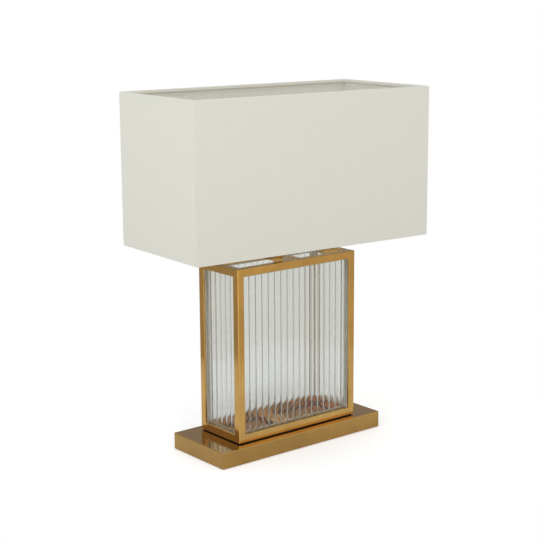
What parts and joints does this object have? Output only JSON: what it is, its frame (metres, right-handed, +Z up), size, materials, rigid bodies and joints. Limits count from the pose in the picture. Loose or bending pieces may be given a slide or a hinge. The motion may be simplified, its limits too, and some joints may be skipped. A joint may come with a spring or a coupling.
{
  "type": "column table lamp",
  "caption": "Table lamp with a fluted glass column in a square-tube brass frame on a flat brass base, under a large rectangular fabric shade.",
  "frame": {"origin": "middle of the underside of the felt pad that the lamp stands on", "axes": "+Z up along the column, +X along the base's long side to the lamp's right, -Y out of the lamp's front; the cable inlet is in the +Y side of the base"},
  "size_m": [0.4138, 0.2222, 0.521],
  "materials": {
    "column_brass": "antique, satin polished",
    "base_brass": "antique, satin polished",
    "neck_brass": "antique, satin",
    "ballast_iron": "as cast",
    "cover_steel": "black stoved paint",
    "fastener_steel": "zinc plated",
    "pad_felt": "dark brown felt",
    "bush_plastic": "black nylon",
    "gasket_rubber": "black foam rubber",
    "fluted_glass": "clear, fire polished",
    "holder_plastic": "black bakelite",
    "insulator_ceramic": "white steatite, unglazed",
    "holder_brass": "bright",
    "bulb_metal": "bright",
    "bulb_black": "black glass-like",
    "bulb_white": "white",
    "opal_glass": "opal",
    "shade_fabric": "ivory linen weave",
    "shade_lining": "off-white laminate",
    "carrier_white": "white powder coat"
  },
  "bodies": {
    "root": {"base_ballast": "ballast_iron", "base_cover": "cover_steel", "base_pad": "pad_felt", "base_shell": "base_brass", "bottom_crossbar": "column_brass", "bottom_rail_back": "column_brass", "bottom_rail_front": "column_brass", "bottom_rail_left": "column_brass", "bottom_rail_right": "column_brass", "cable_inlet_bush": "bush_plastic", "centre_bolt": "fastener_steel", "centre_contact": "holder_brass", "centre_nut": "fastener_steel", "centre_washer": "fastener_steel", "corner_post_back_left": "column_brass", "corner_post_back_right": "column_brass", "corner_post_front_left": "column_brass", "corner_post_front_right": "column_brass", "cover_screws": "fastener_steel", "frame_gasket": "gasket_rubber", "glass_pane_back": "fluted_glass", "glass_pane_front": "fluted_glass", "glass_pane_left": "fluted_glass", "glass_pane_right": "fluted_glass", "holder_body": "holder_plastic", "holder_cap": "holder_plastic", "holder_insulator": "insulator_ceramic", "neck_sleeve": "neck_brass", "pane_bead_back": "column_brass", "pane_bead_front": "column_brass", "pane_bead_left": "column_brass", "pane_bead_right": "column_brass", "screw_shell": "holder_brass", "stem_nut": "neck_brass", "stem_tube": "neck_brass", "stem_washers": "neck_brass", "terminal_screws": "fastener_steel", "top_crossbar": "column_brass", "top_rail_back": "column_brass", "top_rail_front": "column_brass", "top_rail_left": "column_brass", "top_rail_right": "column_brass"},
    "shade": {"shade_fabric": "shade_fabric", "shade_liner": "shade_lining", "shade_top_hem": "shade_fabric", "shade_bottom_hem": "shade_fabric", "shade_top_wire": "carrier_white", "shade_bottom_wire": "carrier_white", "fitter_ring": "carrier_white", "fitter_arms": "carrier_white"},
    "shade_ring": {"shade_ring": "holder_plastic"},
    "bulb": {"bulb_contact": "bulb_metal", "bulb_insulator": "bulb_black", "bulb_cap": "bulb_metal", "bulb_collar": "bulb_white", "bulb_globe": "opal_glass"}
  },
  "joints": [
    {"name": "shade_turn", "type": "hinge", "parent": "root", "child": "shade", "pos_m": [0, 0, 0.3165], "axis": [0, 0, 1], "continuous": true},
    {"name": "shade_ring_turn", "type": "hinge", "parent": "root", "child": "shade_ring", "pos_m": [0, 0, 0.322], "axis": [0, 0, 1], "continuous": true},
    {"name": "bulb_lift", "type": "slide", "parent": "root", "child": "bulb", "axis": [0, 0, 1], "range_m": [0, 0.05]}
  ]
}
